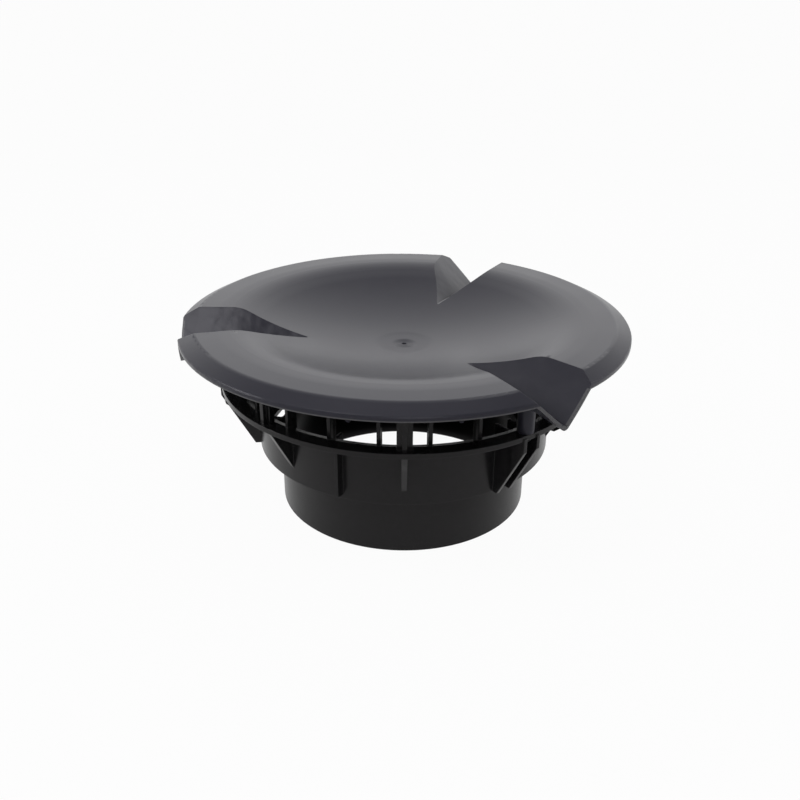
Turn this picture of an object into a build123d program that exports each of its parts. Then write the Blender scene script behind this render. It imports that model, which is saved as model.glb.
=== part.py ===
"""Ventilation roof cap: a moulded duct base with a grille, a dished rain cap and three screws.

Millimetres, +Z up. The origin is on the duct's axis, at the lower end of the spigot.
"""

import math
import os

from build123d import *

# Duct base: spigot, collar, flare and ring
spigot_diameter = 125.0
spigot_height = 32.0
collar_diameter = 146.0
collar_height = 25.0
flare_width = 8.0
flare_height = 7.6
ring_width = 9.1
ring_thickness = 2.5
lead_width = 2.6
lead_drop = 0.46
base_wall = 2.5
edge_chamfer = 0.6

# Grille bars between the ring and the cap
bays_per_side = 8
bar_thickness = 1.6
bar_depth = 5.5
bar_step = 3.0
post_bays = (2.5, 5.5)
post_width = 6.8
post_plate = 2.6
post_rib = 2.2
post_inset = 1.8

# Gussets and ribs outside the collar
gusset_thickness = 2.5
gusset_drop = 25.5
gusset_inset = 3.0
pair_thickness = 1.7
pair_gap = 6.0
pair_lip = 5.5
pair_foot = 2.5
pair_step = 0.5
tab_bay = 0.9
tab_width = 3.0
tab_depth = 5.0
tab_drop = 4.0
collar_rib_bay = 4.0
collar_rib = 1.5
collar_rib_depth = 5.0
collar_rib_lift = 2.0

# Drain slots through the ledge between spigot and collar
drain_bay = -1.45
drain_length = 13.0
drain_edge = 1.5

# Rain cap
rim_diameter = 217.0
outlet_height = 23.7
cap_wall = 2.0
bevel_width = 7.1
bevel_drop = 3.5
crest_width = 21.0
dish_depth = 16.4
crest_round = 25.0
kink_round = 4.0
rim_chamfer = 0.5
gate_diameter = 2.4
gate_depth = 0.5

# Drain troughs through the rim, three round the cap
sides = 3
first_trough = -52.4
trough_start = 45.8
trough_fall = 7.9
trough_wall = 1.5
left_slope = 42.8
right_slope = 46.1
valley_round = 1.2

# Stiffening ribs under the crest
cap_rib_bays = (1.5, 3.5, 4.5, 6.5)
cap_rib = 1.4
cap_rib_drop = 14.4
cap_rib_tip = 3.0

# Screws from below, through the ring into the cap's bosses
boss_diameter = 7.8
boss_edge = 3.9
screw_diameter = 3.0
screw_length = 12.0
screw_head = 5.4
screw_head_height = 2.2
screw_head_chamfer = 0.8
recess_length = 3.0
recess_width = 0.8
recess_depth = 1.2

# Clearances
cap_clearance = 0.3
screw_clearance = 0.1
hole_clearance = 0.5

# Radii and heights that follow
spigot_radius = spigot_diameter / 2
collar_radius = collar_diameter / 2
ring_inner = collar_radius + flare_width
ring_outer = ring_inner + ring_width
pair_outer = ring_outer + pair_step
bar_outer = ring_inner + bar_step
bar_inner = bar_outer - bar_depth
boss_radius = ring_outer - boss_edge
collar_top = spigot_height + collar_height
ring_bottom = collar_top + flare_height
ring_top = ring_bottom + ring_thickness
side_angle = 360 / sides
bay_angle = side_angle / bays_per_side

bevel_angle = math.atan2(bevel_drop, bevel_width)
rim_radius = rim_diameter / 2
rim_top = ring_top + outlet_height + cap_wall / math.cos(bevel_angle)
crest_z = rim_top + bevel_drop
kink_radius = rim_radius - bevel_width
crest_inner = kink_radius - crest_width
dish_radius = (crest_inner**2 + dish_depth**2) / (2 * dish_depth)
dish_floor = crest_z - dish_depth


def dish_z(radius):
    """Height of the dish's upper face at a distance from the axis."""
    return dish_floor + dish_radius - math.sqrt(dish_radius**2 - radius**2)


def below_cap(depth, rounded=False):
    """Solid up to a surface `depth` under the cap's face, reaching as far past the rim and the spigot's foot."""
    ridge = math.sqrt(2 * (dish_radius + depth) * dish_depth - dish_depth**2)
    kink = kink_radius - depth * math.tan(bevel_angle / 2)
    edge = rim_radius + depth
    edge_z = rim_top - depth / math.cos(bevel_angle) - depth * math.tan(bevel_angle)
    with BuildPart() as form:
        with BuildSketch(Plane.XZ) as section:
            with BuildLine():
                dish = TangentArc((0, dish_floor - depth), (ridge, crest_z - depth), tangent=(1, 0))
                Polyline(
                    dish @ 1,
                    (kink, crest_z - depth),
                    (edge, edge_z),
                    (edge, -depth),
                    (0, -depth),
                    dish @ 0,
                )
            make_face()
            if rounded:
                fillet(section.vertices().group_by(Axis.Y)[-1].sort_by(Axis.X)[0], crest_round)
                fillet(section.vertices().group_by(Axis.Y)[-1].sort_by(Axis.X)[-1], kink_round)
                chamfer(section.vertices().group_by(Axis.X)[-1].sort_by(Axis.Y)[-1], rim_chamfer)
        revolve(axis=Axis.Z)
    return form.part


def trough_wedge(depth):
    """V-shaped prism along +X that follows a drain trough, grown by `depth` outside the trough's face."""
    fall = trough_fall / (rim_radius - trough_start)
    height = crest_z
    head = (0, 0, dish_z(trough_start) + fall * trough_start)
    with BuildPart() as wedge:
        with BuildSketch(Plane(origin=head, x_dir=(0, 1, 0), z_dir=(1, 0, -fall))) as section:
            with BuildLine():
                Polyline(
                    (0, 0),
                    (height / math.tan(math.radians(right_slope)), height),
                    (-height / math.tan(math.radians(left_slope)), height),
                    close=True,
                )
            make_face()
            fillet(section.vertices().sort_by(Axis.Y)[0], valley_round)
            if depth > 0:
                offset(amount=depth)
        extrude(amount=rim_diameter)
    return wedge.part


def radial_plate(points, thickness):
    """Flat plate in the XZ plane, from its outline in radius and height."""
    with BuildPart() as plate:
        with BuildSketch(Plane.XZ):
            with BuildLine():
                Polyline(*points, close=True)
            make_face()
        extrude(amount=thickness / 2, both=True)
    return plate.part


# Forms that both mouldings are cut to
cap_outside = below_cap(0, rounded=True)
cap_inside = below_cap(cap_wall)
room_under_cap = below_cap(cap_wall + cap_clearance)
trough_inside = trough_wedge(0)
trough_outside = trough_wedge(trough_wall)
room_under_trough = trough_wedge(trough_wall + cap_clearance)

# Base: turned wall from the spigot up to the ring
flare_slope = flare_height / flare_width
flare_top = ring_top - lead_drop
flare_foot = flare_top - flare_slope * (flare_width + base_wall)
root = ring_thickness / 2
drain_radius = (spigot_radius + collar_radius - base_wall) / 2
drain_width = collar_radius - base_wall - spigot_radius - 2 * drain_edge

with BuildPart() as base_wall_part:
    with BuildSketch(Plane.XZ):
        with BuildLine():
            Polyline(
                (spigot_radius - base_wall, 0),
                (spigot_radius, 0),
                (spigot_radius, spigot_height),
                (collar_radius, spigot_height),
                (collar_radius, collar_top),
                (ring_inner, ring_bottom),
                (ring_outer, ring_bottom),
                (ring_outer, ring_top),
                (ring_inner + lead_width, ring_top),
                (ring_inner, flare_top),
                (collar_radius - base_wall, flare_foot),
                (collar_radius - base_wall, spigot_height + base_wall),
                (spigot_radius - base_wall, spigot_height + base_wall),
                close=True,
            )
        make_face()
    revolve(axis=Axis.Z)
    chamfer(base_wall_part.edges().filter_by(GeomType.CIRCLE).group_by(Axis.Z)[0], edge_chamfer)

# Base: one bar of the grille, its foot let into the flare and the ring
bar_foot = ring_top - root
bar = radial_plate(
    [
        (bar_inner, bar_foot - flare_slope * (ring_inner - bar_inner)),
        (ring_inner, bar_foot),
        (bar_outer, bar_foot),
        (bar_outer, crest_z),
        (bar_inner, crest_z),
    ],
    bar_thickness,
)

# Base: one T-shaped post, a plate with a rib in front
with BuildPart() as post:
    with BuildSketch(Plane.XY.offset(bar_foot)):
        with Locations((bar_outer, 0)):
            Rectangle(post_plate, post_width, align=(Align.MIN, Align.CENTER))
            Rectangle(ring_outer - post_inset - bar_outer, post_rib, align=(Align.MIN, Align.CENTER))
    extrude(amount=crest_z - bar_foot)

# Base: a gusset under each post, a rib on the collar and the pair beside each screw
collar_root = collar_radius - root
gusset = radial_plate(
    [
        (collar_root, ring_bottom + root),
        (ring_outer - gusset_inset, ring_bottom + root),
        (ring_outer - gusset_inset, ring_bottom),
        (collar_radius, ring_bottom - gusset_drop),
        (collar_root, ring_bottom - gusset_drop),
    ],
    gusset_thickness,
)
rib = radial_plate(
    [
        (collar_root, ring_bottom),
        (collar_radius + collar_rib_depth, ring_bottom),
        (collar_radius + collar_rib_depth, spigot_height + collar_rib_lift + collar_rib),
        (collar_radius, spigot_height + collar_rib_lift),
        (collar_root, spigot_height + collar_rib_lift),
    ],
    collar_rib,
)
pair_plate = radial_plate(
    [
        (collar_root, ring_bottom + root),
        (pair_outer, ring_bottom + root),
        (pair_outer, ring_bottom - pair_lip),
        (collar_radius + pair_foot, spigot_height),
        (collar_root, spigot_height),
    ],
    pair_thickness,
)

# Base: the small tab under the ring beside each screw
tab = radial_plate(
    [
        (ring_outer - tab_depth, ring_bottom + root),
        (ring_outer, ring_bottom + root),
        (ring_outer, ring_bottom - tab_drop / 2),
        (ring_outer - tab_depth / 2, ring_bottom - tab_drop),
        (ring_outer - tab_depth, ring_bottom - tab_drop),
    ],
    tab_width,
)

# Base: everything in one third of the turn, measured from the trough's direction
with BuildPart() as grille:
    with PolarLocations(0, bays_per_side - 1, bay_angle, side_angle - 2 * bay_angle, endpoint=True):
        add(bar)
    for bay in post_bays:
        with PolarLocations(0, 1, bay * bay_angle):
            add(post.part)
    add(room_under_cap, mode=Mode.INTERSECT)
    with PolarLocations(0, 2, 0, side_angle, endpoint=True):
        add(room_under_trough, mode=Mode.SUBTRACT)

with BuildPart() as base:
    add(base_wall_part.part)
    with PolarLocations(0, sides, first_trough):
        add(grille.part)
    for bay in post_bays:
        with PolarLocations(0, sides, first_trough + bay * bay_angle):
            add(gusset)
    with PolarLocations(0, sides, first_trough + collar_rib_bay * bay_angle):
        add(rib)
    for hand in (-1, 1):
        with PolarLocations(0, sides, first_trough):
            with Locations((0, hand * (pair_gap + pair_thickness) / 2)):
                add(pair_plate)
    with PolarLocations(0, sides, first_trough + tab_bay * bay_angle):
        add(tab)
    with BuildSketch(Plane.XY.offset(spigot_height)):
        with PolarLocations(drain_radius, sides, first_trough + drain_bay * bay_angle):
            Rectangle(drain_width, drain_length)
    extrude(amount=base_wall, mode=Mode.SUBTRACT)
    with BuildSketch(Plane.XY.offset(ring_bottom)):
        with PolarLocations(boss_radius, sides, first_trough):
            Circle((screw_diameter + hole_clearance) / 2)
    extrude(amount=ring_thickness, mode=Mode.SUBTRACT)
base.part.label = "base"

# Cap: what stands in the room under it, a trough with its boss and the ribs beside it
with BuildPart() as boss:
    with BuildSketch(Plane.XY.offset(ring_top)):
        with Locations((boss_radius, 0)):
            Circle(boss_diameter / 2)
    extrude(amount=crest_z - ring_top)

cap_rib_low = crest_z - cap_wall - cap_rib_drop
rib_plate = radial_plate(
    [
        (bar_outer, crest_z),
        (ring_outer - cap_rib_tip, cap_rib_low),
        (ring_outer, cap_rib_low),
        (kink_radius, crest_z - cap_wall),
        (kink_radius, crest_z),
    ],
    cap_rib,
)

with BuildPart() as cap_room:
    add(cap_inside)
    with PolarLocations(0, sides, first_trough):
        add(trough_outside, mode=Mode.SUBTRACT)
    with PolarLocations(0, sides, first_trough):
        add(boss.part, mode=Mode.SUBTRACT)
    for bay in cap_rib_bays:
        with PolarLocations(0, sides, first_trough + bay * bay_angle):
            add(rib_plate, mode=Mode.SUBTRACT)

with BuildPart() as cap:
    add(cap_outside)
    add(cap_room.part, mode=Mode.SUBTRACT)
    with PolarLocations(0, sides, first_trough):
        add(trough_inside, mode=Mode.SUBTRACT)
    with BuildSketch(Plane.XY.offset(ring_top)):
        with PolarLocations(boss_radius, sides, first_trough):
            Circle((screw_diameter + screw_clearance) / 2)
    extrude(amount=screw_length - ring_thickness + screw_clearance, mode=Mode.SUBTRACT)
    with BuildSketch(Plane.XY.offset(dish_floor - gate_depth)):
        Circle(gate_diameter / 2)
    extrude(amount=cap_wall, mode=Mode.SUBTRACT)
cap.part.label = "cap"

# Screws: pan heads under the ring, with a cross recess
with BuildPart() as screw:
    with BuildSketch(Plane.XY.offset(ring_bottom)):
        Circle(screw_head / 2)
    extrude(amount=-screw_head_height)
    chamfer(screw.edges().group_by(Axis.Z)[0], screw_head_chamfer)
    with BuildSketch(Plane.XY.offset(ring_bottom)):
        Circle(screw_diameter / 2)
    extrude(amount=screw_length)
    with BuildSketch(Plane.XY.offset(ring_bottom - screw_head_height)):
        Rectangle(recess_length, recess_width)
        Rectangle(recess_width, recess_length)
    extrude(amount=recess_depth, mode=Mode.SUBTRACT)

with BuildPart() as screws:
    with PolarLocations(boss_radius, sides, first_trough):
        add(screw.part)
screws.part.label = "screws"

os.makedirs("parts", exist_ok=True)
export_step(base.part, "parts/base.step")
export_step(cap.part, "parts/cap.step")
export_step(screws.part, "parts/screws.step")
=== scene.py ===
"""Ventilation roof cap, dressed for a studio picture: black duct base, blackened screws and grey rain cap.

Metres, +Z up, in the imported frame: the origin is on the duct's axis at the lower end of the spigot.
"""

import math

import bpy
import numpy as np
from mathutils import Matrix, Vector

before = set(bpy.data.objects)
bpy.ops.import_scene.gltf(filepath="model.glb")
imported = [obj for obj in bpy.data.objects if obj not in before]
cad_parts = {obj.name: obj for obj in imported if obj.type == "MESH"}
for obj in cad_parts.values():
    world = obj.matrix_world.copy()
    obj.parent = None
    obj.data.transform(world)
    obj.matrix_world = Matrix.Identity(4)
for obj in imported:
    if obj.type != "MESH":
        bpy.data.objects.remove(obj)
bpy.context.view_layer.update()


# Duct base: spigot, collar, ring and grille in one injection moulding of black polypropylene.
# The mould's polish gives it a gloss with a faint orange peel, and handling leaves it a little dusty.
# The inner edge of the ring swells slightly where the grille's openings start.
class Signal:
    """One output of a node. Arithmetic on it adds Math nodes to the tree that it belongs to."""

    def __init__(self, finish, source, output):
        self.finish = finish
        self.source = source
        self.output = output

    def other(self, output):
        """Another output of the same node."""
        return Signal(self.finish, self.source, output)

    def math(self, operation, first, second):
        """A Math node on two values, each a signal or a number."""
        return self.finish.node("ShaderNodeMath", {"operation": operation}, {0: first, 1: second})

    def __add__(self, other):
        return self.math("ADD", self, other)

    def __radd__(self, other):
        return self.math("ADD", other, self)

    def __sub__(self, other):
        return self.math("SUBTRACT", self, other)

    def __rsub__(self, other):
        return self.math("SUBTRACT", other, self)

    def __mul__(self, other):
        return self.math("MULTIPLY", self, other)

    def __rmul__(self, other):
        return self.math("MULTIPLY", other, self)


class Finish:
    """The node tree of a material, or of the world."""

    def __init__(self, owner):
        owner.use_nodes = True
        self.owner = owner
        self.tree = owner.node_tree
        self.tree.nodes.clear()

    def node(self, kind, settings=None, sockets=None, output=0):
        """Adds a node, sets its settings, then gives its sockets their values or links."""
        made = self.tree.nodes.new(kind)
        for name, value in (settings or {}).items():
            setattr(made, name, value)
        for key, value in (sockets or {}).items():
            if isinstance(value, Signal):
                self.tree.links.new(value.source.outputs[value.output], made.inputs[key])
            else:
                made.inputs[key].default_value = value
        return Signal(self, made, output)

    def place(self):
        """Object coordinates, in metres."""
        return self.node("ShaderNodeTexCoord", output="Object")

    def part(self, vector, axis):
        """One component of a vector."""
        return self.node("ShaderNodeSeparateXYZ", sockets={"Vector": vector}, output=axis)

    def radius(self):
        """Distance from the duct's axis, in metres: the length of the place with its Z left out."""
        flat = self.node("ShaderNodeVectorMath", {"operation": "MULTIPLY"}, {0: self.place(), 1: (1, 1, 0)})
        return self.node("ShaderNodeVectorMath", {"operation": "LENGTH"}, {0: flat}, output="Value")

    def noise(self, size, detail=2.0, roughness=0.5):
        """Noise from 0 to 1 with features about `size` metres across."""
        sockets = {"Vector": self.place(), "Scale": 1 / size, "Detail": detail, "Roughness": roughness}
        return self.node("ShaderNodeTexNoise", sockets=sockets)

    def ramp(self, value, low, high, first=0.0, last=1.0):
        """Smooth step of a value, from `first` at the low limit to `last` at the high one."""
        sockets = {"Value": value, "From Min": low, "From Max": high, "To Min": first, "To Max": last}
        return self.node("ShaderNodeMapRange", {"interpolation_type": "SMOOTHSTEP"}, sockets)

    def mix(self, factor, first, second):
        """Blend of two colours. A Mix node's colour sockets are known by their numbers alone."""
        colour_a = 6
        colour_b = 7
        blended = 2
        sockets = {"Factor": factor, colour_a: first, colour_b: second}
        return self.node("ShaderNodeMix", {"data_type": "RGBA"}, sockets, output=blended)

    def relief(self, height, edge):
        """Normal of a surface raised by `height` metres, with its edges rounded to a radius of `edge`."""
        rounded = self.node("ShaderNodeBevel", {"samples": 6}, {"Radius": edge})
        return self.node("ShaderNodeBump", sockets={"Height": height, "Distance": 1.0, "Normal": rounded})

    def surface(self, sockets):
        """Ends the tree in one Principled shader."""
        shader = self.node("ShaderNodeBsdfPrincipled", sockets=sockets)
        self.node("ShaderNodeOutputMaterial", sockets={"Surface": shader})

    def dress(self, piece):
        """Makes this the only material of a piece."""
        piece.data.materials.clear()
        piece.data.materials.append(self.owner)


clean_black = (0.008, 0.008, 0.0085, 1)
dusty_black = (0.02, 0.02, 0.021, 1)
black_tint = (1.0, 0.97, 0.98, 1)
plastic_reflection = 0.3
gloss_roughness = 0.2
cloud_dulling = 0.1
cloud_size = 0.035
speck_size = 0.0007
speck_start = 0.62
speck_full = 0.8
peel_size = 0.0011
peel_height = 0.00001
swell_start = 0.0809
swell_end = 0.0838
swell_height = 0.00024
base_edge = 0.0005

black_moulding = Finish(bpy.data.materials.new("black_moulding"))
peel = black_moulding.noise(peel_size, detail=1.0)
clouds = black_moulding.noise(cloud_size, detail=4.0, roughness=0.6)
specks = black_moulding.noise(speck_size, detail=3.0, roughness=0.7)
dust = black_moulding.ramp(specks, speck_start, speck_full)
swell = black_moulding.ramp(black_moulding.radius(), swell_start, swell_end)
black_moulding.surface({
    "Base Color": black_moulding.mix(dust * clouds, clean_black, dusty_black),
    "Roughness": gloss_roughness + cloud_dulling * clouds,
    "Specular IOR Level": plastic_reflection,
    "Specular Tint": black_tint,
    "Normal": black_moulding.relief(peel_height * peel + swell_height * swell, base_edge),
})
black_moulding.dress(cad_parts["base"])


# Screws: three pan-head screws of zinc-plated steel, passivated black, driven from below through the
# ring into the cap's bosses. Tumbling leaves fine scratches, where a little bright metal shows.
passivated_black = (0.03, 0.03, 0.032, 1)
worn_steel = (0.09, 0.09, 0.092, 1)
steel_roughness = 0.35
scratch_dulling = 0.2
scratch_size = 0.0002
scratch_height = 0.00001
wear_start = 0.6
wear_full = 0.75
screw_edge = 0.0002

black_steel = Finish(bpy.data.materials.new("black_steel"))
scratches = black_steel.noise(scratch_size, detail=4.0, roughness=0.7)
worn = black_steel.ramp(scratches, wear_start, wear_full)
black_steel.surface({
    "Base Color": black_steel.mix(worn, passivated_black, worn_steel),
    "Metallic": 1.0,
    "Roughness": steel_roughness + scratch_dulling * scratches,
    "Normal": black_steel.relief(scratch_height * scratches, screw_edge),
})
black_steel.dress(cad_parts["screws"])


# Rain cap: one injection moulding of dark grey plastic, dished, with three drain troughs through the rim.
# The sprue leaves a dimple and a dull ring at the centre of the polished face. The thin trough walls bow and
# have sunk in waves and the crest falls gently into the dish. A pale painted highlight runs along the rim's
# lower lip.
deep_grey = (0.021, 0.0206, 0.0295, 1)
light_grey = (0.027, 0.0264, 0.036, 1)
# Pale grey painted on the rim's lower lip as a highlight.
lip_highlight_grey = (0.09, 0.089, 0.094, 1)
grey_tint = (0.96, 0.95, 1.0, 1)
satin_roughness = 0.26
flow_dulling = 0.06
ring_dulling = 0.04
dimple_dulling = 0.08
flow_size = 0.02
grain_size = 0.0005
grain_height = 0.000004
dimple_start = 0.0012
dimple_end = 0.0066
dimple_depth = 0.0006
ring_start = 0.011
ring_end = 0.0155
ring_depth = 0.00008
wall_slope = 0.76
face_slope = 0.84
wave_size = 0.009
wave_left = -0.07
wave_right = 0.0
wave_left_height = 0.0005
wave_right_height = 0.0002
bow_start = 0.05
bow_end = 0.088
bow_height = 0.0022
fall_start = 0.069
crest_corner = 0.0804
fall_end = 0.092
fall_depth = 0.0005
lip_start = 0.1072
lip_end = 0.1078
lip_low = 0.0912
lip_high = 0.0916
cap_edge = 0.00045

satin_moulding = Finish(bpy.data.materials.new("satin_moulding"))
flow = satin_moulding.noise(flow_size, detail=3.0, roughness=0.55)
grain = satin_moulding.noise(grain_size)
from_axis = satin_moulding.radius()
dimple = satin_moulding.ramp(from_axis, dimple_start, dimple_end, 1.0, 0.0)
ring = satin_moulding.ramp(from_axis, ring_start, ring_end, 1.0, 0.0)
outward = satin_moulding.node("ShaderNodeTexCoord", output="Normal")
wall = satin_moulding.ramp(satin_moulding.part(outward, "Z"), wall_slope, face_slope, 1.0, 0.0)
across = satin_moulding.part(satin_moulding.place(), "X")
wave_height = satin_moulding.ramp(across, wave_left, wave_right, wave_left_height, wave_right_height)
waves = wave_height * satin_moulding.noise(wave_size, detail=1.5)
bow = bow_height * satin_moulding.ramp(from_axis, bow_start, bow_end)
fall_inside = satin_moulding.ramp(from_axis, fall_start, crest_corner)
fall_outside = satin_moulding.ramp(from_axis, crest_corner, fall_end, 1.0, 0.0)
fall = fall_depth * (fall_inside * fall_outside)
height = grain_height * grain + wall * (waves + bow) - (1 - wall) * fall
level = satin_moulding.part(satin_moulding.place(), "Z")
# Painted highlight: a thin band at the bottom of the rim's outer edge is painted pale grey.
below_rim = satin_moulding.ramp(level, lip_low, lip_high, 1.0, 0.0)
lip_highlight = below_rim * satin_moulding.ramp(from_axis, lip_start, lip_end)
body = satin_moulding.mix(flow, deep_grey, light_grey)
satin_moulding.surface({
    "Base Color": satin_moulding.mix(lip_highlight, body, lip_highlight_grey),
    "Roughness": satin_roughness + flow_dulling * flow + ring_dulling * ring + dimple_dulling * dimple,
    "Specular IOR Level": plastic_reflection,
    "Specular Tint": grey_tint,
    "Normal": satin_moulding.relief(height - dimple_depth * dimple - ring_depth * ring, cap_edge),
})
satin_moulding.dress(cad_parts["cap"])


# Floor and backdrop: pale paper on a round table, turned up into a low wall all round it.
# The camera sees it as plain white, with a trace of the object's shadow.
# Reflections show it dim inside the duct and towards the camera, as in a room with one lit end.
table_radius = 1.2
cove_radius = 0.25
wall_height = 0.45
steps_around = 128
points_along = 65
paper_grey = (0.6, 0.6, 0.6, 1)
white = (1, 1, 1, 1)
glow_share = 0.96
duct_inside = 0.05
duct_outside = 0.066
front_limit = -0.3
back_limit = 0.16
front_glow = 0.03
back_glow = 0.9


def paper_cove(around, along):
    """Turned sheet whose profile is flat from the axis, then a quarter turn, then upright."""
    flat = table_radius - cove_radius
    turn = cove_radius * math.pi / 2
    length = along * (flat + turn + wall_height)
    bend = np.clip((length - flat) / cove_radius, 0, math.pi / 2)
    radius = np.minimum(length, flat) + cove_radius * np.sin(bend)
    height = cove_radius * (1 - np.cos(bend)) + np.maximum(length - flat - turn, 0)
    angle = 2 * math.pi * around
    return np.stack([radius * np.cos(angle), radius * np.sin(angle), height], axis=-1)


def turned_mesh(name, points):
    """Smooth mesh of quads over a grid of points, closed on itself along the grid's first axis."""
    rows, columns = points.shape[:2]
    index = np.arange(rows * columns).reshape(rows, columns)
    ahead = np.roll(index, -1, axis=0)
    quads = np.stack([index[:, :-1], index[:, 1:], ahead[:, 1:], ahead[:, :-1]], axis=-1)
    mesh = bpy.data.meshes.new(name)
    mesh.from_pydata(points.reshape(-1, 3), [], quads.reshape(-1, 4))
    mesh.polygons.foreach_set("use_smooth", np.ones(len(mesh.polygons), dtype=bool))
    mesh.update()
    return mesh


turns = np.linspace(0, 1, steps_around, endpoint=False)
around, along = np.meshgrid(turns, np.linspace(0, 1, points_along), indexing="ij")
paper = bpy.data.objects.new("paper", turned_mesh("paper", paper_cove(around, along)))
bpy.context.scene.collection.objects.link(paper)

white_paper = Finish(bpy.data.materials.new("white_paper"))
seen = white_paper.node("ShaderNodeLightPath", output="Is Camera Ray")
depth = white_paper.part(white_paper.place(), "Y")
outside_duct = white_paper.ramp(white_paper.radius(), duct_inside, duct_outside)
lit = outside_duct * white_paper.ramp(depth, front_limit, back_limit, front_glow, back_glow)
background = seen + seen.other("Is Transmission Ray") + seen.other("Is Glossy Ray") * lit
sheet = white_paper.node("ShaderNodeBsdfDiffuse", sockets={"Color": paper_grey})
glow = white_paper.node("ShaderNodeEmission", sockets={"Color": white, "Strength": 1.0})
blend = white_paper.node("ShaderNodeMixShader", sockets={0: glow_share * background, 1: sheet, 2: glow})
white_paper.node("ShaderNodeOutputMaterial", sockets={"Surface": blend})
white_paper.dress(paper)


# Studio light: wide softboxes behind and above the object, small ones in front and at both sides,
# in a grey room that is brightest behind. Faces turned to the camera are the darkest.
lamp_aim = (0.0, 0.0, 0.08)


def softbox(name, place, size, power):
    """Rectangular area lamp at a place, turned to the middle of the object."""
    lamp = bpy.data.lights.new(name, "AREA")
    lamp.shape = "RECTANGLE"
    lamp.size, lamp.size_y = size
    lamp.energy = power
    box = bpy.data.objects.new(name, lamp)
    facing = (Vector(lamp_aim) - Vector(place)).to_track_quat("-Z", "Y").to_matrix().to_4x4()
    box.matrix_world = Matrix.Translation(place) @ facing
    bpy.context.scene.collection.objects.link(box)


softbox("back_box", place=(0.0, 0.95, 0.41), size=(1.8, 0.38), power=1.14)
softbox("top_box", place=(-0.38, -0.33, 1.02), size=(0.4, 0.4), power=2.6)
softbox("front_box", place=(0.1, -0.9, 0.8), size=(0.4, 0.4), power=0.8)
softbox("left_box", place=(-0.87, -0.05, 0.58), size=(0.35, 0.3), power=2.6)
softbox("right_box", place=(0.87, -0.05, 0.58), size=(0.35, 0.3), power=2.2)
softbox("sky_box", place=(0.0, 0.3, 1.2), size=(0.8, 0.5), power=0.6)

room_front = 0.28
room_back = 1.25
front_turn = 0.2
back_turn = 0.9

room = Finish(bpy.data.worlds.new("room"))
bpy.context.scene.world = room.owner
behind = room.part(room.node("ShaderNodeTexCoord", output="Generated"), "Y")
brightness = room.ramp(behind, front_turn, back_turn, room_front, room_back)
walls = room.node("ShaderNodeBackground", sockets={"Color": white, "Strength": brightness})
room.node("ShaderNodeOutputWorld", sockets={"Surface": walls})


# Camera: a short telephoto on a tripod in front of the object, tilted down on the cap.
# The tripod's head stands a third of a degree out of level.
camera_distance = 0.4644
camera_pitch = math.radians(25.34)
camera_roll = math.radians(0.351)
camera_aim = (-0.0019, 0.0, 0.04918)
focal_pixels = 911.4
frame_pixels = 800

lens = bpy.data.cameras.new("camera")
lens.sensor_width = 36.0
lens.lens = lens.sensor_width * focal_pixels / frame_pixels
lens.clip_start = 0.01
camera = bpy.data.objects.new("camera", lens)
facing = Matrix.Rotation(math.pi / 2 - camera_pitch, 4, "X") @ Matrix.Rotation(camera_roll, 4, "Z")
camera.matrix_world = Matrix.Translation(camera_aim) @ facing @ Matrix.Translation((0, 0, camera_distance))
bpy.context.scene.collection.objects.link(camera)
bpy.context.scene.camera = camera
bpy.context.scene.view_settings.view_transform = "Standard"
